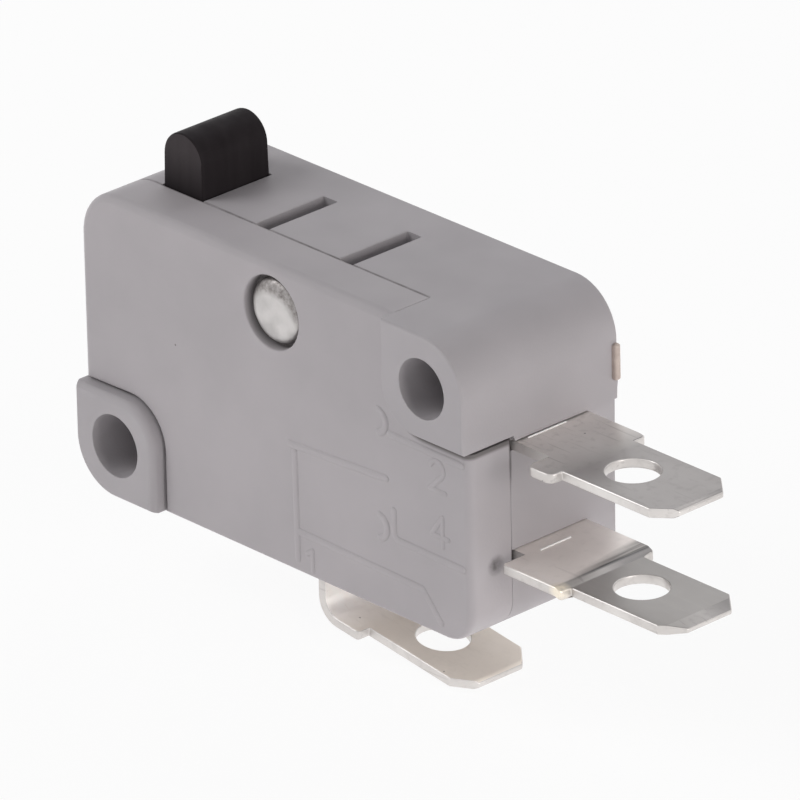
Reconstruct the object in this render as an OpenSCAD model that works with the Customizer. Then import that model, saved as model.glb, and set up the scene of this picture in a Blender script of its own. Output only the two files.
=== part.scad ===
// Plunger snap-action switch with three plated blade terminals.
// Millimetres. The origin is on the axis of the lower mounting hole, halfway through the case.
// X runs along the case towards the terminals, Z up towards the plunger, and -Y is the cover side.

/* [Mounting holes] */
// Distance between the two mounting holes along the case
hole_dx = 22.2; // [21:0.1:24]
// Distance between the two mounting holes up the case
hole_dz = 10.3; // [10:0.1:11.5]
// Diameter of the mounting holes
hole_d = 3.1; // [2.8:0.05:3.3]
// Distance from a mounting hole's axis to the outer edges of its corner
hole_edge = 2.8; // [2.6:0.05:3.2]
// Distance from a mounting hole's axis to the inner edge of its corner, up or down the case
hole_inner = 2.65; // [2.4:0.05:2.8]

/* [Case] */
// Thickness of the case over the lug and the boss
case_t = 10.3; // [9.8:0.1:11.5]
// How far the lug and the boss stand proud of the cover's face
face_step = 0.65; // [0.4:0.05:0.9]
// Gap between the terminals' front edges and the parting plane of the cover
part_gap = 0.15; // [0.1:0.05:0.4]
// Thickness of the case's walls
wall = 1.2; // [0.9:0.05:1.4]
// Thickness of the roof over the mechanism
roof_t = 2; // [1.8:0.05:2.4]
// How far the boss stands proud of the end wall below it
end_step = 0.25; // [0.1:0.05:0.4]
// Radius of the lug's and the boss's outer corner
outer_r = 2.7; // [1.5:0.1:2.8]
// Radius of the lug's and the boss's inner corner
inner_r = 2.2; // [1:0.1:2.4]
// Radius of the case's upper left corner
upper_r = 2.6; // [1:0.1:3]
// Radius of the case's lower right corner
lower_r = 1.7; // [1:0.1:2.2]
// Gap between the cover and the lug or boss
seam = 0.12; // [0.04:0.01:0.2]
// Length of the solid end block that grips the terminals
block_l = 5.45; // [5.2:0.05:5.8]
// Height of the moulding gate's stub on the end of the boss
gate_h = 1.9; // [1:0.1:2.4]
// Width of the moulding gate's stub
gate_w = 0.4; // [0.3:0.05:0.8]
// How far the moulding gate's stub stands proud
gate_out = 0.26; // [0.1:0.02:0.4]

/* [Lever slots] */
// Distance from the left end of the case to the first slot in the roof
slot_x = 9.8; // [9.4:0.1:10]
// Distance between the two slots
slot_pitch = 5.95; // [5.6:0.05:6.2]
// Width of a slot
slot_w = 1; // [0.7:0.05:1.2]
// Depth of a slot
slot_depth = 1.2; // [0.8:0.05:1.4]

/* [Rivet] */
// Distance from the left end of the case to the rivet
rivet_x = 13.8; // [13.4:0.1:14.2]
// Distance from the top of the case to the rivet
rivet_drop = 2.6; // [2.55:0.05:2.8]
// Diameter of the rivet's shank
rivet_d = 1.9; // [1.5:0.1:2.2]
// Diameter of the rivet's heads
rivet_head_d = 3.4; // [3:0.05:3.5]
// Height of the rivet's heads
rivet_head_h = 0.6; // [0.4:0.05:0.65]
// Diameter of the recess round a rivet head
recess_d = 3.85; // [3.6:0.05:4.2]
// Depth of the recess round a rivet head
recess_depth = 0.7; // [0.65:0.05:0.9]
// Gap round the rivet's shank
rivet_gap = 0.05; // [0.02:0.01:0.1]
// Wall left round the rivet's recess
rivet_wall = 0.55; // [0.4:0.05:0.7]

/* [Plunger] */
// Distance from the left end of the case to the middle of the plunger
plunger_x = 4.6; // [4.4:0.1:4.8]
// Width of the plunger along the case
plunger_w = 2.8; // [2.4:0.1:3]
// Length of the plunger across the case
plunger_l = 4.4; // [4:0.1:4.6]
// Height of the plunger's top above the case
plunger_h = 3.1; // [2.9:0.1:3.6]
// Full travel of the plunger
plunger_travel = 2.4; // [2:0.1:2.5]
// Gap between the plunger and the sides of its slot
plunger_gap = 0.08; // [0.05:0.01:0.15]
// Overhang of the plunger's collar beyond its slot
collar_out = 0.8; // [0.5:0.05:1]
// Thickness of the plunger's collar
collar_t = 1; // [0.8:0.1:1.4]
// Reach of the plunger's foot from its middle, away from the terminals
foot_left = 2; // [1.6:0.05:2.2]
// Reach of the plunger's foot from its middle, towards the terminals
foot_right = 0.5; // [0.3:0.05:0.7]
// Gap between the collar and the wall above it, and the stop below it at full travel
collar_gap = 0.05; // [0.02:0.01:0.1]
// Gap between the travel stop and the pieces that pass beside it
stop_gap = 0.3; // [0.2:0.05:0.5]

/* [Terminals] */
// Thickness of the terminal strip
strip_t = 0.5; // [0.4:0.02:0.6]
// Width of a terminal's blade
blade_w = 4.8; // [4.6:0.05:4.9]
// Width over a terminal's stop ears
ear_w = 6.3; // [6:0.05:6.5]
// Width of the strip where it passes through the case
neck_w = 4.8; // [4.6:0.05:4.85]
// Length of the two end blades from their ears to their tips
blade_l = 6.95; // [6.2:0.05:7.6]
// Diameter of the hole in a blade
blade_hole_d = 2.7; // [1.4:0.1:2.9]
// Distance from the ears to the hole in the two end blades
blade_hole_s = 2.35; // [2.2:0.05:2.8]
// Length of the chamfers on a blade's tip corners
tip_l = 1.1; // [0.6:0.05:1.4]
// Width of the chamfers on a blade's tip corners
tip_w = 0.95; // [0.6:0.05:1.3]
// Depth of the bevel on a blade's tip
bevel_d = 0.13; // [0.05:0.01:0.18]
// Height of the normally closed terminal's upper face
nc_z = 7.3; // [7:0.05:7.4]
// Distance from the end of the case to the normally closed terminal's ears
nc_ear_x = 2.25; // [1.8:0.05:2.6]
// Length of the normally closed terminal's front ear
nc_ear_l = 1.7; // [1:0.05:2]
// Length of the bevel on the normally closed blade's tip
nc_bevel = 0.25; // [0.1:0.05:0.6]
// Height of the normally open terminal's upper face
no_z = 1.5; // [1.4:0.05:1.7]
// Distance from the end of the case to the normally open terminal's ears
no_ear_x = 0.45; // [0.2:0.05:0.8]
// Length of the normally open terminal's ears
no_ear_l = 4; // [3.4:0.05:4.4]
// Drop of the normally open blade below its ears
no_joggle = 0.15; // [0.05:0.01:0.25]
// Length over which the normally open blade drops
joggle_l = 0.35; // [0.2:0.05:0.5]
// Length of the bevel on the normally open blade's tip
no_bevel = 0.8; // [0.3:0.05:1]
// Distance from the left end of the case to the common terminal
com_x = 15.2; // [15:0.1:16]
// Distance from the floor of the case down to the common terminal's bend
com_drop = 1.75; // [1.5:0.05:2.4]
// Inner radius of the common terminal's outer bend
com_bend_r = 0.9; // [0.5:0.05:1.2]
// Inner radius of the common terminal's bends inside the case
post_bend_r = 0.4; // [0.3:0.05:0.5]
// Downward slope of the common blade, in degrees
com_tilt = 7.8; // [0:0.1:10]
// Length of the common terminal's ears past the bend
com_ear_l = 1.55; // [1.2:0.05:2]
// Length of the common blade from its ears to its tip
com_blade_l = 6.8; // [6.2:0.05:7.6]
// Distance from the common terminal's ears to the hole in its blade
com_hole_s = 2.7; // [2.2:0.05:2.8]
// Length of the bevel on the common blade's tip
com_bevel = 0.2; // [0.1:0.05:0.6]
// Gap between a terminal and its slot in the case
strip_gap = 0.03; // [0.01:0.01:0.06]

/* [Contacts] */
// Diameter of the fixed contacts
contact_d = 3; // [2.4:0.1:3.2]
// Height of the fixed contacts' heads
contact_h = 0.9; // [0.7:0.05:1]
// Diameter of the moving contact
mover_d = 2.6; // [2:0.1:2.8]
// Height of the moving contact above and below the blade
mover_h = 1.15; // [0.9:0.05:1.2]
// Radius of the moving contact's domed faces
mover_dome_r = 4; // [3:0.1:6]
// Diameter of the contacts' shanks
shank_d = 1.5; // [1:0.1:1.8]
// Height of the closed heads on the far side of the strip
tail_h = 0.3; // [0.2:0.05:0.4]
// Diameter of the closed heads on the far side of the strip
tail_d = 2.1; // [2:0.1:2.3]
// Gap round a contact's shank
shank_gap = 0.02; // [0.01:0.01:0.04]
// Gap left between contacts that touch in use
touch_gap = 0.05; // [0.03:0.01:0.08]
// Distance from the end block to the middle of the contacts
contact_in = 1.7; // [1.65:0.05:1.9]

/* [Mechanism] */
// Distance from the left end of the case to the post that carries the contact blade
post_x = 9.8; // [9.6:0.1:10]
// Height of the post above the blade's pivot
post_over = 0.75; // [0.5:0.05:1]
// Width of the gap in the post and in the blade
fork_w = 2.4; // [2.3:0.05:2.6]
// Thickness of the contact blade
spring_blade_t = 0.3; // [0.2:0.02:0.36]
// Width of the contact blade
spring_blade_w = 4.4; // [4.2:0.05:4.6]
// Radius of the groove that the contact blade rocks in
groove_r = 0.2; // [0.19:0.01:0.24]
// Length of the bar that the spring hooks over
hook_bar_l = 0.5; // [0.4:0.05:0.55]
// Length of the hole beside that bar
hook_hole_l = 0.75; // [0.7:0.05:0.85]
// Distance from the moving contact's axis to that hole
hook_hole_in = 2; // [1.9:0.05:2.2]
// Distance from the post to the lever's pivot
lever_x = 1.7; // [1.6:0.05:1.9]
// Height of the lever's pivot above the inside floor
lever_z = 2.5; // [2.4:0.05:2.7]
// Diameter of the lever's hub
hub_d = 1.8; // [1.6:0.05:2]
// Diameter of the lever's trunnions
trunnion_d = 1.2; // [1:0.05:1.3]
// Depth of the trunnions in the walls
trunnion_in = 0.7; // [0.5:0.05:0.75]
// Gap round the trunnions
trunnion_gap = 0.05; // [0.03:0.01:0.08]
// Width of the lever's arm
lever_w = 2; // [1.8:0.05:2.1]
// Thickness of the lever's arm
lever_t = 1.1; // [0.9:0.05:1.2]
// Distance of the spring's pin from the lever's pivot, along the case
pin_dx = 4.8; // [4.6:0.05:5]
// Distance of the spring's pin from the lever's pivot, up the case
pin_dz = 4.8; // [4.7:0.05:5]
// Diameter of the spring's pin
pin_d = 0.7; // [0.6:0.05:0.75]
// Radius of the lever's nose under the plunger
nose_r = 0.6; // [0.5:0.05:0.7]
// Height of the nose above the lever's pivot
nose_dz = 5.7; // [5.6:0.05:5.9]
// Gap between the nose and the plunger
nose_gap = 0.1; // [0.08:0.01:0.15]
// Wire diameter of the snap spring
wire_d = 0.3; // [0.24:0.02:0.32]
// Outside diameter of the snap spring
coil_d = 1.9; // [1.7:0.05:2]
// Pitch of the snap spring's coils
coil_pitch = 0.46; // [0.44:0.01:0.6]
// Distance from the spring's loops to its first and last coil
coil_lead = 1.9; // [1.8:0.05:2.2]
// Gap between the spring's loops and what they hook over
loop_gap = 0.1; // [0.06:0.01:0.12]

/* [Hidden] */
$fn = 64;
eps = 1;
lap = 0.02;
case_grey = "#A8A3A5";
cover_grey = "#A9A4A7";
plated = "#B3ABA4";

// Middle of the mechanism, set by terminals whose necks lie flush with their rear ears
neck_y1 = ear_w / 2;
neck_y0 = neck_y1 - neck_w;
mid_y = (neck_y0 + neck_y1) / 2;

// Outer faces of the case and the parting plane
x_min = -hole_edge;
x_max = hole_dx + hole_edge;
x_end = x_max - end_step;
z_min = -hole_edge;
z_max = hole_dz + hole_edge;
y_front = -case_t / 2;
y_back = case_t / 2;
y_face = y_front + face_step;
y_part = neck_y0 - part_gap;

// Inner edges of the lug and the boss
lug_x = hole_edge;
lug_z = hole_inner;
boss_x = hole_dx - hole_edge;
boss_z = hole_dz - hole_inner;

// Space inside the case
in_x0 = x_min + wall;
in_x1 = x_end - block_l;
in_z0 = z_min + wall;
in_z1 = z_max - roof_t;
in_y0 = y_face + wall;
in_y1 = y_back - wall;

// Rivet
rivet_px = x_min + rivet_x;
rivet_pz = z_max - rivet_drop;
rivet_boss_r = recess_d / 2 + rivet_wall;
rivet_y0 = y_face + recess_depth;
rivet_y1 = y_back - recess_depth;

// Common terminal's post and the pivot on it
post_left = x_min + post_x;
post_right = post_left + strip_t;
com_left = x_min + com_x;
com_right = com_left + strip_t;
run_z = in_z0 + post_bend_r;

// Contacts and the blade at rest
contact_x = in_x1 - contact_in;
pivot_x = post_right;
blade_top = nc_z - strip_t - contact_h - touch_gap - mover_h;
pivot_z = blade_top - spring_blade_t / 2;
hook_hole_x = contact_x - hook_hole_in - hook_hole_l;
hook_x = hook_hole_x - hook_bar_l / 2;

// Lever
lever_px = post_right + lever_x;
lever_pz = in_z0 + lever_z;
pin_x = lever_px - pin_dx;
pin_z = lever_pz + pin_dz;
nose_x = x_min + plunger_x;
nose_z = lever_pz + nose_dz;

// Plunger
plunger_px = x_min + plunger_x;
plunger_y0 = y_part + plunger_gap;
plunger_top = z_max + plunger_h;
collar_z = z_max - wall - collar_gap;
foot_z = nose_z + nose_r + nose_gap;
stop_z = collar_z - collar_t - plunger_travel - collar_gap;

// Extrudes an X-Z outline across the case from y0 to y1
module across(y0, y1) {
    translate([0, y1, 0])
        rotate([90, 0, 0])
            linear_extrude(height = y1 - y0)
                children();
}

// Rod across the case from y0 to y1
module rod(x, z, d, y0, y1) {
    translate([x, y1, z])
        rotate([90, 0, 0])
            cylinder(h = y1 - y0, d = d);
}

// Block between two corners
module block(a, b) {
    translate(a)
        cube(b - a);
}

// Rectangle with a radius for each corner: lower left, lower right, upper right, upper left
module rounded(a, b, r) {
    polygon([
        [a.x + r[0], a.y], [b.x - r[1], a.y],
        [b.x, a.y + r[1]], [b.x, b.y - r[2]],
        [b.x - r[2], b.y], [a.x + r[3], b.y],
        [a.x, b.y - r[3]], [a.x, a.y + r[0]]
    ]);
    corners = [
        [a.x + r[0], a.y + r[0]], [b.x - r[1], a.y + r[1]],
        [b.x - r[2], b.y - r[2]], [a.x + r[3], b.y - r[3]]
    ];
    for (i = [0:3])
        if (r[i] > 0)
            translate(corners[i])
                circle(r = r[i]);
}

// Bar with round ends from p to q
module bar(p, q, d) {
    run = q - p;
    translate(p)
        circle(d = d);
    translate(q)
        circle(d = d);
    translate(p)
        rotate(atan2(run.y, run.x))
            translate([0, -d / 2])
                square([norm(run), d]);
}

// Bent strip of inner radius r round centre c, from angle a0 to angle a1
module bend(c, r, a0, a1) {
    far = 2 * (r + strip_t);
    mid = (a0 + a1) / 2;
    translate(c)
        intersection() {
            difference() {
                circle(r = r + strip_t);
                circle(r = r);
            }
            polygon([
                [0, 0], far * [cos(a0), sin(a0)],
                far * [cos(mid), sin(mid)], far * [cos(a1), sin(a1)]
            ]);
        }
}

// Corner lug round the lower mounting hole, grown by g
module lug_outline(g = 0) {
    rounded([x_min - g, z_min - g], [lug_x + g, lug_z + g], [outer_r + g, 0, inner_r + g, 0]);
}

// Corner boss round the upper mounting hole, grown by g
module boss_outline(g = 0) {
    rounded([boss_x - g, boss_z - g], [x_max + g, z_max + g], [inner_r + g, 0, outer_r + g, 0]);
}

// Whole case seen from the front
module case_outline() {
    rounded([x_min, z_min], [boss_x + inner_r, z_max], [outer_r, 0, 0, upper_r]);
    rounded([lug_x, z_min], [x_end, boss_z + inner_r], [0, lower_r, 0, 0]);
    rounded([boss_x, boss_z], [x_max, z_max], [inner_r, 0, outer_r, 0]);
}

// Corner left open by the cover, with its outer sides run past the case
module cover_corners() {
    lug_outline(seam);
    boss_outline(seam);
    translate([x_min - eps, z_min - eps])
        square([eps + hole_edge, eps + hole_edge]);
    translate([hole_dx, hole_dz])
        square([eps + hole_edge, eps + hole_edge]);
}

// Space for the mechanism in the housing
module room_outline() {
    difference() {
        translate([in_x0, in_z0])
            square([in_x1 - in_x0, in_z1 - in_z0]);
        lug_outline();
        translate([in_x0 - eps, in_z0 - eps])
            square([eps + wall, eps + wall]);
        translate([rivet_px, rivet_pz])
            circle(r = rivet_boss_r);
    }
    translate([plunger_px - plunger_w / 2 - collar_out - wall / 2, in_z1 - eps])
        square([plunger_w + 2 * collar_out + wall, roof_t - wall + eps]);
}

// Shallow space in the cover, a wall clear of the lug and the boss
module cover_room_outline() {
    difference() {
        translate([lug_x + wall, in_z0])
            square([boss_x - lug_x - 2 * wall, in_z1 - in_z0]);
        translate([rivet_px, rivet_pz])
            circle(r = rivet_boss_r);
    }
}

// Slots that the terminals are laid into, open towards the cover
module terminal_slots() {
    for (z = [nc_z, no_z])
        block([in_x1 - eps, y_part - eps, z - strip_t - strip_gap],
            [x_max + eps, neck_y1 + strip_gap, z + strip_gap]);
    block([com_left - strip_gap, y_part - eps, z_min - eps],
        [com_right + strip_gap, neck_y1 + strip_gap, in_z0 + eps]);
}

// Recesses for the rivet's heads and the hole between them
module rivet_way() {
    rod(rivet_px, rivet_pz, rivet_d + 2 * rivet_gap, y_face - eps, y_back + eps);
    rod(rivet_px, rivet_pz, recess_d, y_face - eps, rivet_y0);
    rod(rivet_px, rivet_pz, recess_d, rivet_y1, y_back + eps);
}

// Bearings for the lever's trunnions
module lever_bearings() {
    rod(lever_px, lever_pz, trunnion_d + 2 * trunnion_gap,
        in_y0 - trunnion_in - trunnion_gap, in_y1 + trunnion_in + trunnion_gap);
}

// Rib on the back wall that stops the plunger's collar at the end of its travel
module travel_stop() {
    block([plunger_px + foot_right + stop_gap, mid_y + lever_w / 2 + stop_gap, stop_z - wall],
        [plunger_px + plunger_w / 2 + collar_out, in_y1 + lap, stop_z]);
}

// Grey moulding with the lug, the boss, the roof and the end block
module housing() {
    color(case_grey) {
        travel_stop();
        difference() {
            union() {
                across(y_part, y_back)
                    case_outline();
                across(y_front, y_part + eps)
                    lug_outline();
                across(y_front, y_part + eps)
                    boss_outline();
                gate_stub();
            }
            across(y_part - eps, in_y1)
                room_outline();
            for (p = [[0, 0], [hole_dx, hole_dz]])
                rod(p.x, p.y, hole_d, y_front - eps, y_back + eps);
            plunger_way();
            lever_slots();
            rivet_way();
            lever_bearings();
            terminal_slots();
        }
    }
}

// Stub left by the moulding gate, on the end of the boss near the back
module gate_stub() {
    block([x_max - wall, y_back - gate_w, hole_dz - gate_h],
        [x_max + gate_out, y_back, hole_dz]);
}

// Slot in the roof for the plunger, open towards the cover
module plunger_way() {
    half = plunger_w / 2 + plunger_gap;
    block([plunger_px - half, y_part - eps, z_max - wall - eps],
        [plunger_px + half, plunger_y0 + plunger_l + plunger_gap, z_max + eps]);
}

// Two blind slots in the roof where a lever can be clipped on
module lever_slots() {
    for (i = [0:1]) {
        x = x_min + slot_x + i * slot_pitch;
        block([x, y_part - eps, z_max - slot_depth],
            [x + slot_w, plunger_y0 + plunger_l + plunger_gap, z_max + eps]);
    }
}

// Grey front moulding, fitted between the lug and the boss
module cover() {
    color(cover_grey)
        difference() {
            across(y_face, y_part)
                difference() {
                    case_outline();
                    cover_corners();
                }
            across(in_y0, y_part + eps)
                cover_room_outline();
            rivet_way();
            lever_bearings();
        }
}

// Aluminium rivet with a domed head in each recess
module cover_rivet() {
    dome_r = (pow(rivet_head_d / 2, 2) + pow(rivet_head_h, 2)) / (2 * rivet_head_h);
    color("#D9D7D4") {
        rod(rivet_px, rivet_pz, rivet_d, rivet_y0 - rivet_head_h / 2, rivet_y1 + rivet_head_h / 2);
        intersection() {
            translate([rivet_px, rivet_y0 - rivet_head_h + dome_r, rivet_pz])
                sphere(r = dome_r);
            rod(rivet_px, rivet_pz, 2 * dome_r, rivet_y0 - rivet_head_h - eps, rivet_y0);
        }
        intersection() {
            translate([rivet_px, rivet_y1 + rivet_head_h - dome_r, rivet_pz])
                sphere(r = dome_r);
            rod(rivet_px, rivet_pz, 2 * dome_r, rivet_y1, rivet_y1 + rivet_head_h + eps);
        }
    }
}

// Black push button: half-round top, collar under the roof and a foot on the lever's nose
module plunger() {
    half = plunger_w / 2;
    collar = half + collar_out;
    color("#2B292B")
        across(plunger_y0, plunger_y0 + plunger_l) {
            translate([plunger_px, plunger_top - half])
                circle(r = half);
            translate([plunger_px - half, collar_z - collar_t / 2])
                square([plunger_w, plunger_top - half - collar_z + collar_t / 2]);
            translate([plunger_px - collar, collar_z - collar_t])
                square([2 * collar, collar_t]);
            translate([plunger_px - foot_left, foot_z])
                square([foot_left + foot_right, collar_z - collar_t / 2 - foot_z]);
        }
}

// Lever that the plunger turns: hub with two trunnions, cranked arm, spring pin and nose
module inner_lever() {
    pivot = [lever_px, lever_pz];
    pin = [pin_x, pin_z];
    y0 = mid_y - lever_w / 2;
    y1 = mid_y + lever_w / 2;
    loop_r = pin_d / 2 + loop_gap + wire_d + loop_gap;
    color("#C9C4B8") {
        rod(lever_px, lever_pz, hub_d, in_y0 + trunnion_gap, in_y1 - trunnion_gap);
        rod(lever_px, lever_pz, trunnion_d, in_y0 - trunnion_in, in_y1 + trunnion_in);
        difference() {
            across(y0, y1) {
                bar(pivot, pin, lever_t);
                bar(pin, [nose_x, nose_z - nose_r + lever_t / 2], lever_t);
                translate([nose_x, nose_z])
                    circle(r = nose_r);
            }
            rod(pin_x, pin_z, 2 * loop_r, mid_y - wire_d / 2 - loop_gap, mid_y + wire_d / 2 + loop_gap);
        }
        rod(pin_x, pin_z, pin_d, y0, y1);
    }
}

// Unit vector along v
function unit(v) = v / norm(v);

// Spring's own axes: along from pin to hook, then square to it in the X-Z plane, then across the case
spring_from = [pin_x, mid_y, pin_z];
spring_run = [hook_x, mid_y, pivot_z] - spring_from;
spring_l = norm(spring_run);
spring_u = unit(spring_run);
spring_v = [spring_u.z, 0, -spring_u.x];
spring_w = [0, 1, 0];
function spring_point(p) = spring_from + p.x * spring_u + p.y * spring_v + p.z * spring_w;

// Centre line of the spring: pin loop, coils, hook loop
loop_mid_r = pin_d / 2 + loop_gap + wire_d / 2;
coil_mid_r = (coil_d - wire_d) / 2;
coil_turns = round((spring_l - 2 * coil_lead) / coil_pitch);
coil_step = (spring_l - 2 * coil_lead) / coil_turns;
turn_steps = 10;
loop_angle = 27;
wire_line = [
    for (a = [0:loop_angle:270])
        spring_point([loop_mid_r * cos(a), loop_mid_r * sin(a), 0]),
    for (i = [0:coil_turns * turn_steps])
        let (a = 360 * i / turn_steps)
            spring_point([coil_lead + coil_step * i / turn_steps, -coil_mid_r * cos(a), coil_mid_r * sin(a)]),
    for (a = [270:loop_angle:540])
        spring_point([spring_l + loop_mid_r * cos(a), loop_mid_r * sin(a), 0])
];

// Round wire swept along a line of points, its rings turned as little as possible from one to the next
module wire(line, d, sides = 6) {
    last = len(line) - 1;
    heads = [for (i = [0:last]) unit(line[min(i + 1, last)] - line[max(i - 1, 0)])];
    first = unit(cross(heads[0], [0, 1, 0]));
    ups = [
        for (i = 0, n = first; i <= last; i = i + 1,
            n = i <= last ? unit(n - (n * heads[i]) * heads[i]) : n)
            n
    ];
    points = [
        for (i = [0:last], k = [0:sides - 1])
            line[i] + d / 2 * (cos(360 * k / sides) * ups[i] + sin(360 * k / sides) * cross(heads[i], ups[i]))
    ];
    skin = [
        for (i = [0:last - 1], k = [0:sides - 1])
            let (a = i * sides + k, b = i * sides + (k + 1) % sides)
                each [[a, b, a + sides], [b, b + sides, a + sides]]
    ];
    ends = [
        [for (k = [sides - 1:-1:0]) k],
        [for (k = [0:sides - 1]) last * sides + k]
    ];
    polyhedron(points = points, faces = [for (f = concat(skin, ends)) [for (j = [len(f) - 1:-1:0]) f[j]]]);
}

// Tension spring between the lever's pin and the blade's hook bar
module snap_spring() {
    color("#8C8E90")
        wire(wire_line, wire_d);
}

// Forked blade that rocks in the post's groove and carries the moving contact
module contact_blade() {
    half = spring_blade_w / 2;
    tip_x = contact_x + mover_d / 2 + touch_gap;
    color("#C08A4A")
        difference() {
            union() {
                block([pivot_x, mid_y - half, pivot_z - spring_blade_t / 2],
                    [tip_x, mid_y + half, pivot_z + spring_blade_t / 2]);
                rod(pivot_x, pivot_z, spring_blade_t, mid_y - half, mid_y + half);
            }
            block([pivot_x - eps, mid_y - fork_w / 2, pivot_z - eps],
                [hook_hole_x - hook_bar_l, mid_y + fork_w / 2, pivot_z + eps]);
            block([hook_hole_x, mid_y - fork_w / 4, pivot_z - eps],
                [hook_hole_x + hook_hole_l, mid_y + fork_w / 4, pivot_z + eps]);
            translate([contact_x, mid_y, pivot_z - eps])
                cylinder(h = 2 * eps, d = shank_d + 2 * shank_gap);
        }
}

// Domed head of the moving contact, standing on z = 0
module mover_head() {
    intersection() {
        cylinder(h = mover_h, d = mover_d);
        translate([0, 0, mover_h - mover_dome_r])
            sphere(r = mover_dome_r);
    }
}

// Double contact riveted through the blade
module moving_contact() {
    color("#D4CFC4")
        translate([contact_x, mid_y, pivot_z]) {
            translate([0, 0, -spring_blade_t])
                cylinder(h = 2 * spring_blade_t, d = shank_d);
            for (s = [0, 1])
                mirror([0, 0, s])
                    translate([0, 0, spring_blade_t / 2])
                        mover_head();
        }
}

// Fixed contact: flat head on z = 0, shank down through the strip and a closed tail below it
module fixed_contact() {
    cylinder(h = contact_h, d = contact_d);
    translate([0, 0, -strip_t - tail_h])
        cylinder(h = strip_t + tail_h + contact_h / 2, d = shank_d);
    translate([0, 0, -strip_t - tail_h])
        cylinder(h = tail_h, d = tail_d);
}

// Contact under the normally closed terminal
module nc_contact() {
    color("#D4CFC4")
        translate([contact_x, mid_y, nc_z - strip_t])
            mirror([0, 0, 1])
                fixed_contact();
}

// Contact on the normally open terminal
module no_contact() {
    color("#D4CFC4")
        translate([contact_x, mid_y, no_z])
            fixed_contact();
}

// Plan of a blade of length l, from its ears at x = 0 to its tip, with its hole at x = s
module blade_plan(l, s) {
    half = blade_w / 2;
    difference() {
        polygon([
            [0, -half], [l - tip_l, -half], [l, tip_w - half],
            [l, half - tip_w], [l - tip_l, half], [0, half]
        ]);
        translate([s, 0])
            circle(d = blade_hole_d);
    }
}

// Side view of a strip from x0 to x1 with a bevelled tip, its top at z and lower by drop past x = step
module strip_side(x0, x1, z, bevel, step = 0, drop = 0) {
    low = z - drop;
    ramp = drop > 0 ? [[step - joggle_l, z], [step, low]] : [];
    ramp_back = drop > 0 ? [[step, low - strip_t], [step - joggle_l, z - strip_t]] : [];
    polygon(concat(
        [[x0, z]], ramp,
        [[x1 - bevel, low], [x1, low - bevel_d], [x1, low - strip_t + bevel_d], [x1 - bevel, low - strip_t]],
        ramp_back, [[x0, z - strip_t]]
    ));
}

// Plan given as children, lifted into a strip of the side view drawn for it
module upright(z) {
    translate([0, 0, z - eps - strip_t])
        linear_extrude(height = strip_t + 2 * eps)
            children();
}

// Plan of a straight terminal inside the case, with the hole for its contact
module inner_plan(x1) {
    x0 = contact_x - contact_d / 2 - touch_gap;
    difference() {
        translate([x0, neck_y0])
            square([x1 - x0, neck_w]);
        translate([contact_x, mid_y])
            circle(d = shank_d + 2 * shank_gap);
    }
}

// Upper blade terminal with one ear standing clear of the case
module nc_terminal() {
    ear_x0 = x_max + nc_ear_x;
    ear_x1 = ear_x0 + nc_ear_l;
    ear_r = nc_ear_l / 4;
    color(plated)
        intersection() {
            across(-ear_w, ear_w)
                strip_side(contact_x - contact_d, ear_x1 + blade_l, nc_z, nc_bevel);
            upright(nc_z) {
                inner_plan(ear_x1);
                rounded([ear_x0, -ear_w / 2], [ear_x1, 0], [ear_r, ear_r, 0, 0]);
                translate([ear_x1, 0])
                    blade_plan(blade_l, blade_hole_s);
            }
        }
}

// Lower blade terminal with long ears and a blade set a little lower
module no_terminal() {
    ear_x0 = x_max + no_ear_x;
    ear_x1 = ear_x0 + no_ear_l;
    color(plated)
        intersection() {
            across(-ear_w, ear_w)
                strip_side(contact_x - contact_d, ear_x1 + blade_l, no_z, no_bevel, ear_x1, no_joggle);
            upright(no_z) {
                inner_plan(ear_x1);
                translate([ear_x0, -ear_w / 2])
                    square([ear_x1 - ear_x0, ear_w]);
                translate([ear_x1, 0])
                    blade_plan(blade_l, blade_hole_s);
            }
        }
}

// Common terminal: forked post, run along the floor, wide bend below the case and sloping blade
module com_terminal() {
    low_z = z_min - com_drop;
    bend_x = com_right + com_bend_r;
    ear_top = [bend_x - com_bend_r * sin(com_tilt), low_z - com_bend_r * cos(com_tilt)];
    post_top = pivot_z + post_over;
    color(plated) {
        difference() {
            across(neck_y0, neck_y1) {
                translate([com_left, low_z])
                    square([strip_t, in_z0 - low_z]);
                bend([com_left - post_bend_r, in_z0], post_bend_r, 0, 90);
                translate([post_right + post_bend_r, run_z])
                    square([com_left - post_right - 2 * post_bend_r, strip_t]);
                bend([post_right + post_bend_r, run_z + strip_t + post_bend_r], post_bend_r, 180, 270);
                translate([post_left, run_z + strip_t + post_bend_r])
                    square([strip_t, post_top - run_z - strip_t - post_bend_r]);
            }
            block([post_left - eps, mid_y - fork_w / 2, lever_pz - hub_d / 4],
                [post_right + eps, mid_y + fork_w / 2, post_top + eps]);
            rod(pivot_x, pivot_z, 2 * groove_r, neck_y0 - eps, neck_y1 + eps);
        }
        across(-ear_w / 2, ear_w / 2) {
            translate([com_left, low_z])
                square([strip_t, com_drop - strip_gap]);
            bend([bend_x, low_z], com_bend_r, 180, 270 - com_tilt);
        }
        translate([ear_top.x, 0, ear_top.y])
            rotate([0, com_tilt, 0])
                intersection() {
                    across(-ear_w, ear_w)
                        strip_side(-lap, com_ear_l + com_blade_l, 0, com_bevel);
                    upright(0) {
                        translate([-lap, -ear_w / 2])
                            square([lap + com_ear_l, ear_w]);
                        translate([com_ear_l, 0])
                            blade_plan(com_blade_l, com_hole_s);
                    }
                }
    }
}

housing();
cover();
cover_rivet();
plunger();
inner_lever();
snap_spring();
contact_blade();
moving_contact();
com_terminal();
nc_terminal();
nc_contact();
no_terminal();
no_contact();
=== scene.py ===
"""Looks of a small plunger switch, built round its CAD frame."""

import math

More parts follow.
